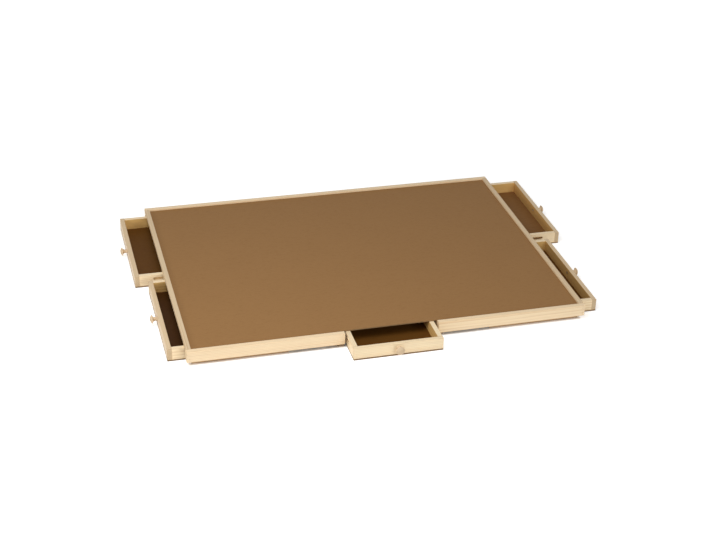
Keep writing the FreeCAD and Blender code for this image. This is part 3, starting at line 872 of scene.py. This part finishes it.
class DressDrawerBottoms(bpy.types.Operator):
    """Give the drawer bottoms their fibreboard and pin them from below"""

    bl_idname = "puzzle_table.drawer_bottoms"
    bl_label = "Drawer bottoms"

    def execute(self, context):
        panel, sizes = context.scene.puzzle_panel, context.scene.puzzle_fasteners
        # painted shade: each drawer bottom gets a darker brown than the work surface, set per drawer
        sheets = {
            "left_front_drawer": (panel.deep_shade_bottom, panel.deep_shade_bottom_fleck),
            "right_back_drawer": (panel.light_shade_bottom, panel.light_shade_bottom_fleck),
        }
        thin_nail = THIN_SIZES | {"Head Radius": sizes.pin_head, "Length": sizes.pin_length}
        for drawer in SLIDES:
            node = f"{drawer}_bottom"
            low, high = box_of(node)
            sheet = sheets.get(drawer, (panel.shaded_bottom_colour, panel.shaded_bottom_fleck))
            dress(node, fibreboard(f"fibreboard_{drawer}", low, high, *sheet))
            places = [(point, (0, 0, -1)) for point in pin_points(low, high, sizes.pin_spacing)]
            pins = grow(f"{drawer}_pins", nail_tree(), places, thin_nail)
            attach(pins, drawer)
        return {"FINISHED"}


def pin_points(low, high, spacing):
    """Points a little inside the outline of a bottom board, just below its underside."""
    level = low.z - PIN_PROUD
    x_span = (low.x + PIN_INSET, high.x - PIN_INSET)
    y_span = (low.y + PIN_INSET, high.y - PIN_INSET)
    across = max(2, math.ceil((x_span[1] - x_span[0]) / spacing))
    deep = max(2, math.ceil((y_span[1] - y_span[0]) / spacing))
    points = []
    for step in range(across + 1):
        x = x_span[0] + (x_span[1] - x_span[0]) * step / across
        points += [Vector((x, y, level)) for y in y_span]
    for step in range(1, deep):
        y = y_span[0] + (y_span[1] - y_span[0]) * step / deep
        points += [Vector((x, y, level)) for x in x_span]
    return points


class DriveDrawerBrads(bpy.types.Operator):
    """Nail the side boards of each drawer to its back board"""

    bl_idname = "puzzle_table.drawer_brads"
    bl_label = "Drawer brads"

    def execute(self, context):
        sizes = context.scene.puzzle_fasteners
        thin_nail = THIN_SIZES | {"Head Radius": sizes.brad_head, "Length": sizes.brad_length}
        for drawer in SLIDES:
            brads = grow(f"{drawer}_brads", nail_tree(), brad_places(drawer), thin_nail)
            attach(brads, drawer)
        return {"FINISHED"}


def slide_axis(slide):
    """0 for a drawer that slides along X, 1 for one that slides along Y."""
    return max((0, 1), key=lambda axis: abs(slide[axis]))


def brad_places(drawer):
    """Places on the outer faces of the side boards, in line with the back board, clear of the groove."""
    back_low, back_high = box_of(f"{drawer}_back")
    middle = (back_low + back_high) / 2
    levels = (back_low.z + BRAD_ABOVE_FOOT, back_high.z - BRAD_BELOW_TOP)
    across = 1 - slide_axis(SLIDES[drawer])
    places = []
    for side in ("left", "right"):
        low, high = box_of(f"{drawer}_{side}_side")
        outward = 1.0 if (low + high)[across] / 2 > middle[across] else -1.0
        aim = Vector((0, 0, 0))
        aim[across] = outward
        for level in levels:
            point = Vector((middle.x, middle.y, level))
            point[across] = (high if outward > 0 else low)[across]
            places.append((point + aim * BRAD_PROUD, aim))
    return places


class DressKnobs(bpy.types.Operator):
    """Give the turned knobs their wood, with the grain along the knob"""

    bl_idname = "puzzle_table.knobs"
    bl_label = "Knobs"

    def execute(self, context):
        wood = context.scene.puzzle_wood
        for drawer, slide in SLIDES.items():
            node = f"{drawer}_knob"
            low, high = box_of(node)
            material = pine(
                f"turned_{drawer}", low, high, slide_axis(slide), wood.knob_early, wood.knob_late,
                wear=False, heart_reach=KNOB_HEART,
            )
            dress(node, material)
        return {"FINISHED"}


class DriveKnobScrews(bpy.types.Operator):
    """Make the cross-recessed screws that hold the knobs"""

    bl_idname = "puzzle_table.knob_screws"
    bl_label = "Knob screws"

    def execute(self, context):
        sizes = context.scene.puzzle_fasteners
        for drawer, slide in SLIDES.items():
            node = f"{drawer}_knob_screw"
            low, high = box_of(node)
            middle, half = (low + high) / 2, (high - low) / 2
            reach = abs(half.dot(slide))
            screw = grow(
                node + "_cross",
                screw_tree(),
                [(middle - slide * reach, -slide)],
                SCREW_SIZES
                | {
                    "Head Radius": half.z, "Length": 2 * reach,
                    "Recess Width": sizes.recess_width, "Pitch": sizes.thread_pitch,
                },
            )
            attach(screw, drawer)
            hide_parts(node)
        return {"FINISHED"}


class DriveFrameNails(bpy.types.Operator):
    """Make the nails that join the corners of the rim"""

    bl_idname = "puzzle_table.frame_nails"
    bl_label = "Frame nails"

    def execute(self, context):
        low, high = box_of("frame_nails")
        corners = [
            (Vector((x, y, z)), Vector((0, aim, 0)))
            for x in (low.x + NAIL_HEAD, high.x - NAIL_HEAD)
            for y, aim in ((low.y, -1), (high.y, 1))
            for z in (low.z + NAIL_HEAD, high.z - NAIL_HEAD)
        ]
        nails = grow(
            "corner_nails",
            nail_tree(),
            [(place - aim * PUTTY_DEPTH, aim) for place, aim in corners],
            NAIL_SIZES,
        )
        plugs = grow("corner_putty", plug_tree(), corners, PLUG_SIZES)
        for piece, slot in ((nails, "steel"), (plugs, "rail_pine")):
            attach(piece, "root")
        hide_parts("frame_nails")
        return {"FINISHED"}


class SetStage(bpy.types.Operator):
    """Set the floor, the light and the camera"""

    bl_idname = "puzzle_table.stage"
    bl_label = "Stage"

    def execute(self, context):
        stage = context.scene.puzzle_stage
        make_floor(stage)
        make_light(stage)
        make_camera(stage)
        context.scene.view_settings.view_transform = "Standard"
        return {"FINISHED"}


def seen_directly(tree):
    """1 for what the camera, a reflection or a clear surface sees, 0 for light that bounces."""
    path = tree.nodes.new("ShaderNodeLightPath").outputs
    seen = maths(tree, "MAXIMUM", path["Is Camera Ray"], path["Is Glossy Ray"])
    return maths(tree, "MAXIMUM", seen, path["Is Transmission Ray"])


def make_floor(stage):
    mesh = bpy.data.meshes.new("floor")
    signs = ((-1, -1), (1, -1), (1, 1), (-1, 1))
    corners = [(x * FLOOR_REACH, y * FLOOR_REACH, FLOOR_LEVEL) for x, y in signs]
    mesh.from_pydata(corners, [], [(0, 1, 2, 3)])
    floor = bpy.data.objects.new("floor", mesh)
    bpy.context.scene.collection.objects.link(floor)
    material = bpy.data.materials.new("pale_floor")
    material.use_nodes = True
    tree = material.node_tree
    tree.nodes.remove(tree.nodes["Principled BSDF"])
    matt = add_node(tree, "ShaderNodeBsdfDiffuse", {"Color": opaque(stage.floor_colour)})
    # the glow grows away from the board, where the lamps no longer reach, and stays off the floor under it
    place = add_node(tree, "ShaderNodeTexCoord").outputs["Object"]
    distance = vector_maths(tree, "LENGTH", place)
    far = spread(tree, distance, GLOW_BEGINS, GLOW_FULL, stage.floor_glow, FAR_GLOW)
    corner = box_of("back_rail")[1]
    from_edge = vector_maths(tree, "SUBTRACT", vector_maths(tree, "ABSOLUTE", place), corner)
    x, y, _ = add_node(tree, "ShaderNodeSeparateXYZ", {0: from_edge}).outputs
    clear = spread(tree, maths(tree, "MAXIMUM", x, y), SHADE_ENDS, CLEAR_BEGINS)
    strength = times(tree, times(tree, far, clear), seen_directly(tree))
    glow = add_node(tree, "ShaderNodeEmission", {"Strength": strength})
    both = tree.nodes.new("ShaderNodeAddShader")
    tree.links.new(matt.outputs[0], both.inputs[0])
    tree.links.new(glow.outputs[0], both.inputs[1])
    tree.links.new(both.outputs[0], tree.nodes["Material Output"].inputs["Surface"])
    mesh.materials.append(material)


def make_light(stage):
    world = bpy.data.worlds.new("studio")
    world.use_nodes = True
    tree = world.node_tree
    tree.nodes["Background"].inputs["Strength"].default_value = stage.ambient
    tree.nodes["Background"].inputs["Color"].default_value = WHITE
    white = add_node(tree, "ShaderNodeBackground", {"Color": WHITE, "Strength": 1.0})
    either = add_node(
        tree,
        "ShaderNodeMixShader",
        {0: seen_directly(tree), 1: tree.nodes["Background"].outputs[0], 2: white.outputs[0]},
    )
    tree.links.new(either.outputs[0], tree.nodes["World Output"].inputs["Surface"])
    bpy.context.scene.world = world
    for name, power, place, size in (
        ("high_lamp", stage.high_power, stage.high_place, stage.high_size),
        ("left_lamp", stage.left_power, stage.left_place, stage.left_size),
        ("front_lamp", stage.front_power, stage.front_place, stage.front_size),
    ):
        light = bpy.data.lights.new(name, "AREA")
        light.shape, light.energy = "RECTANGLE", power
        light.size, light.size_y = size
        lamp = bpy.data.objects.new(name, light)
        lamp.location = place
        lamp.rotation_euler = (-Vector(place)).to_track_quat("-Z", "Y").to_euler()
        bpy.context.scene.collection.objects.link(lamp)


def make_camera(stage):
    turn, dip, roll = stage.camera_turn, stage.camera_dip, stage.camera_roll
    ahead = Vector((-math.sin(turn) * math.cos(dip), math.cos(turn) * math.cos(dip), -math.sin(dip)))
    level_right = ahead.cross(Vector((0, 0, 1))).normalized()
    level_up = level_right.cross(ahead)
    right = math.cos(roll) * level_right + math.sin(roll) * level_up
    up = math.cos(roll) * level_up - math.sin(roll) * level_right
    lens = bpy.data.cameras.new("view")
    lens.lens, lens.sensor_width, lens.clip_end = stage.camera_lens, SENSOR_WIDTH, VIEW_END
    camera = bpy.data.objects.new("view", lens)
    bpy.context.scene.collection.objects.link(camera)
    axes = Matrix((right, up, -ahead)).transposed().to_4x4()
    camera.matrix_world = Matrix.Translation(Vector(stage.camera_place)) @ axes
    bpy.context.scene.camera = camera


OPERATORS = (
    DressWorkSurface,
    DressRails,
    DressBattens,
    DressDrawerBoards,
    DressDrawerBottoms,
    DriveDrawerBrads,
    DressKnobs,
    DriveKnobScrews,
    DriveFrameNails,
    SetStage,
)


class PuzzleTablePanel(bpy.types.Panel):
    """Settings and steps of the puzzle table"""

    bl_idname = "VIEW3D_PT_puzzle_table"
    bl_label = "Puzzle table"
    bl_space_type = "VIEW_3D"
    bl_region_type = "UI"
    bl_category = "Puzzle table"

    def draw(self, context):
        for name, kind in SETTINGS.items():
            box = self.layout.box()
            box.label(text=kind.__doc__)
            for setting in kind.__annotations__:
                box.prop(getattr(context.scene, name), setting)
        for step in OPERATORS:
            self.layout.operator(step.bl_idname)


def register():
    for kind in (*SETTINGS.values(), *OPERATORS, PuzzleTablePanel):
        bpy.utils.register_class(kind)
    for name, kind in SETTINGS.items():
        setattr(bpy.types.Scene, name, PointerProperty(type=kind))


def unregister():
    for name in SETTINGS:
        delattr(bpy.types.Scene, name)
    for kind in (PuzzleTablePanel, *reversed(OPERATORS), *reversed(SETTINGS.values())):
        bpy.utils.unregister_class(kind)


def main():
    register()
    for step in OPERATORS:
        family, name = step.bl_idname.split(".")
        getattr(getattr(bpy.ops, family), name)()


if __name__ == "__main__":
    main()
